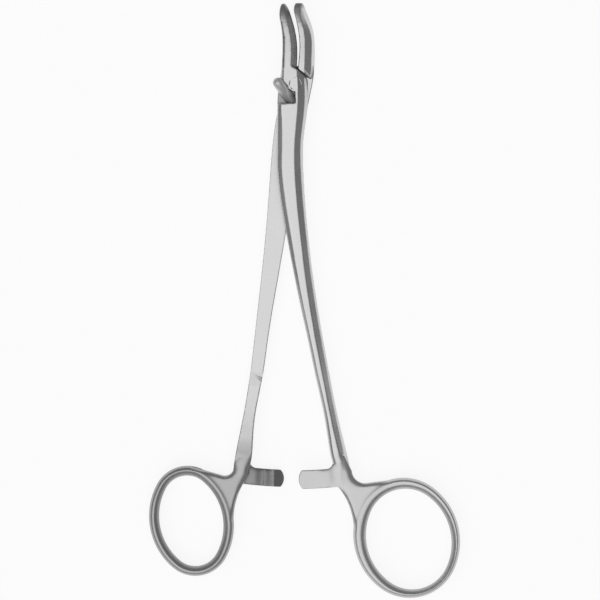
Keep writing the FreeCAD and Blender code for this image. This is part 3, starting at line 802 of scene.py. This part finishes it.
def smooth(piece: bpy.types.Object, sharp_angle: float) -> None:
    """Shades a piece smooth, with creases only where it turns sharply.

    Args:
        piece: The piece.
        sharp_angle: The least turn that stays a crease.
    """
    mesh = piece.data
    mesh.polygons.foreach_set("use_smooth", [True] * len(mesh.polygons))
    mesh.set_sharp_from_angle(angle=sharp_angle)
    mesh.update()


def seat(piece: bpy.types.Object, node: str, body: str) -> None:
    """Puts a piece in a node's place on its body.

    Args:
        piece: The piece.
        node: The modelled node that it stands for.
        body: The body that it moves with.
    """
    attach(piece, body)
    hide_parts(node)
    "pin_steel" if node == "pivot_rivet" else "satin_steel"
    LOG.info("%s: %d faces on %s", piece.name, len(piece.data.polygons), body)


@dataclass(frozen=True)
class Studio:
    """The pale table, the soft light and the camera."""

    pixel: float = 0.25 * MM
    frame_pixels: int = 600
    centre: tuple[float, ...] = mm(-1.075, 0.125)
    camera_height: float = 1.1
    sensor: float = 36.0
    sight: float = 10.0
    floor_half: float = 3.0
    floor_colour: tuple[float, float, float] = (0.93, 0.93, 0.93)
    floor_glow: float = 0.8
    floor_light: float = 1.07
    window: tuple[float, float, float] = (-0.20, -0.30, 0.9)
    window_bright: float = 1.20
    room_dark: float = 0.24
    window_inner: float = math.radians(31)
    window_outer: float = math.radians(48)

    def build(self) -> None:
        """Builds the stage, the lights and the camera."""
        self._floor()
        self._sky()
        self._camera()

    def _floor(self) -> None:
        """The pale table top under the instrument."""
        mesh = bpy.data.meshes.new("table_top")
        half = self.floor_half
        corners = [(-half, -half, 0), (half, -half, 0), (half, half, 0), (-half, half, 0)]
        mesh.from_pydata(corners, [], [(0, 1, 2, 3)])
        table = bpy.data.objects.new("table_top", mesh)
        bpy.context.scene.collection.objects.link(table)
        material = bpy.data.materials.new("pale_table")
        material.use_nodes = True
        maker = NodeMaker(material.node_tree)
        rays = maker.add("ShaderNodeLightPath", {}, {})
        seen = Socket(maker, rays.outputs["Is Camera Ray"])
        seen = seen.at_least(Socket(maker, rays.outputs["Is Glossy Ray"]))
        seen = seen.at_least(Socket(maker, rays.outputs["Is Transmission Ray"]))
        plain = maker.add("ShaderNodeBsdfDiffuse", {}, {"Color": (*self.floor_colour, 1.0)}, "BSDF")
        glow = maker.add(
            "ShaderNodeEmission", {}, {"Color": WHITE, "Strength": self.floor_light}, "Emission"
        )
        surface = maker.add(
            "ShaderNodeMixShader", {}, {0: seen * self.floor_glow, 1: plain, 2: glow}, "Shader"
        )
        maker.add("ShaderNodeOutputMaterial", {}, {"Surface": surface})
        mesh.materials.append(material)

    def _sky(self) -> None:
        """A dim room with one wide soft window overhead, white where the camera sees it."""
        world = bpy.data.worlds.new("soft_window")
        bpy.context.scene.world = world
        world.use_nodes = True
        maker = NodeMaker(world.node_tree)
        way = maker.add("ShaderNodeTexCoord", {}, {}, "Generated")
        towards = Vector(self.window).normalized()
        nearness = maker.add(
            "ShaderNodeVectorMath", {"operation": "DOT_PRODUCT"}, {0: way, 1: towards}, "Value"
        )
        outer = math.cos(self.window_outer)
        inner = math.cos(self.window_inner)
        ramp = ((nearness - outer) / (inner - outer)).share()
        ramp = ramp * ramp * (3.0 - ramp * 2.0)
        light = ramp * (self.window_bright - self.room_dark) + self.room_dark
        seen = maker.add("ShaderNodeLightPath", {}, {}, "Is Camera Ray")
        strength = light + seen * (1.0 - light)
        glow = maker.add("ShaderNodeBackground", {}, {"Color": WHITE, "Strength": strength}, "Background")
        maker.add("ShaderNodeOutputWorld", {}, {"Surface": glow})

    def _camera(self) -> None:
        """The camera straight above, framed as the photograph is."""
        data = bpy.data.cameras.new("camera")
        data.sensor_width = self.sensor
        data.lens = self.sensor * self.camera_height / (self.frame_pixels * self.pixel)
        data.clip_end = self.sight
        camera = bpy.data.objects.new("camera", data)
        camera.location = (*self.centre, self.camera_height)
        camera.rotation_euler = (0.0, 0.0, 0.0)
        bpy.context.scene.collection.objects.link(camera)
        bpy.context.scene.camera = camera


REAR_SATIN = SteelFinish(
    "rear_arm_satin",
    grain=Grain.LENGTHWISE,
    patches=(
        # Painted shade on the ratchet bar, which is also rougher.
        Patch(mm(-16, -49, 0), mm(-4, -41.2, 3), 0.4 * MM, tone=0.60, rougher=0.10),
        # The ring and the web.
        Patch(mm(-45, -80, -5), mm(5, -34, 12), 4.0 * MM, tone=0.75, rougher=0.10),
        # Painted shade on the lap where the recess shows it, which is also made matte.
        Patch(mm(-6.6, 49, 2), mm(-2, 52.8, 3.4), 0.3 * MM, tone=0.70, matte=0.5),
        # A painted highlight along the edge of the shoulder, which is also made matte and rougher.
        Edge(mm(-1.5, 58.65), mm(1.35, 55.95)),
        # Painted highlights along the crests of the teeth, which are also made partly matte.
        Edge(mm(-12.3, -40.4), mm(-12.3, -45.6), 0.22 * MM, tone=1.2, matte=0.1),
        Edge(mm(-10.2, -40.9), mm(-10.2, -46.0), 0.22 * MM, tone=1.3, matte=0.2),
        Edge(mm(-8.05, -41.2), mm(-8.05, -46.4), 0.35 * MM, tone=1.9, matte=0.6),
        # Painted shade on the tip of the jaw, which is also rougher.
        Patch(mm(-4, 72.6, -5), mm(1.2, 80, 12), 1.2 * MM, tone=0.50, rougher=0.10),
    ),
)
FRONT_SATIN = SteelFinish(
    "front_arm_satin",
    grain=Grain.LENGTHWISE,
    patches=(
        # The ring and the web.
        Patch(mm(-5, -80, -5), mm(45, -37, 12), 4.0 * MM, tone=0.95, rougher=0.08),
        # Painted shade in the recess under the stud, which is also made matte and rougher.
        Patch(mm(-7.4, 48.6, 2.6), mm(-2.2, 52.9, 5.5), 0.3 * MM, tone=0.80, rougher=0.1, matte=0.8),
        # Painted shade along the back edge of the jaw.
        Edge(mm(-5.2, 58.2), mm(-5.05, 65.5), 0.55 * MM, tone=0.40, rougher=0.0, matte=0.0),
        Edge(mm(-5.05, 65.5), mm(-5.6, 69.3), 0.50 * MM, tone=0.50, rougher=0.0, matte=0.0),
        # Painted shade on the tip of the jaw, which is also rougher.
        Patch(mm(-9, 69.6, -5), mm(-1, 80, 12), 2.0 * MM, tone=0.62, rougher=0.10),
    ),
)
PIECES: tuple[ForgedArm | TurnedPart, ...] = (
    ForgedArm(
        "rear_arm",
        "rear_half",
        REAR_SATIN,
        eye=mm(-28.18, -54.92),
        rules=(
            LapRunOut(),
            BarRamp(),
            # The root of the bar and the tip of the jaw, then the web.
            Polish((mm(-13, -43.5, 6), mm(0, 76, 5))),
            Polish((mm(-19.5, -49, 9),), passes=10),
        ),
    ),
    ForgedArm(
        "front_arm",
        "front_half",
        FRONT_SATIN,
        eye=mm(26.04, -59.47),
        rules=(
            Fill(mm(8.3, -44), reach=3.6 * MM, level=4.3 * MM),
            # The root of the bar and the tip of the jaw, then the web.
            Polish((mm(9.5, -43, 6.5), mm(-5, 75, 4)), all_over=0.5),
            Polish((mm(15, -50, 9),), passes=10),
            FlushRim(),
        ),
    ),
    TurnedPart("pivot_rivet", "rear_half", SteelFinish("rivet_steel"), cut=Bevel().rivet_cut()),
    TurnedPart("stop_stud", "front_half", SteelFinish("stud_steel", roughness=0.36, metallic=0.5)),
)


def main() -> None:
    """Builds the scene."""
    logging.basicConfig(level=logging.INFO, format="%(name)s: %(message)s")
    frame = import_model()
    bpy.context.scene.view_settings.view_transform = "Standard"
    Studio().build()
    for piece in PIECES:
        piece.build(frame["nodes"])


if __name__ == "__main__":
    main()
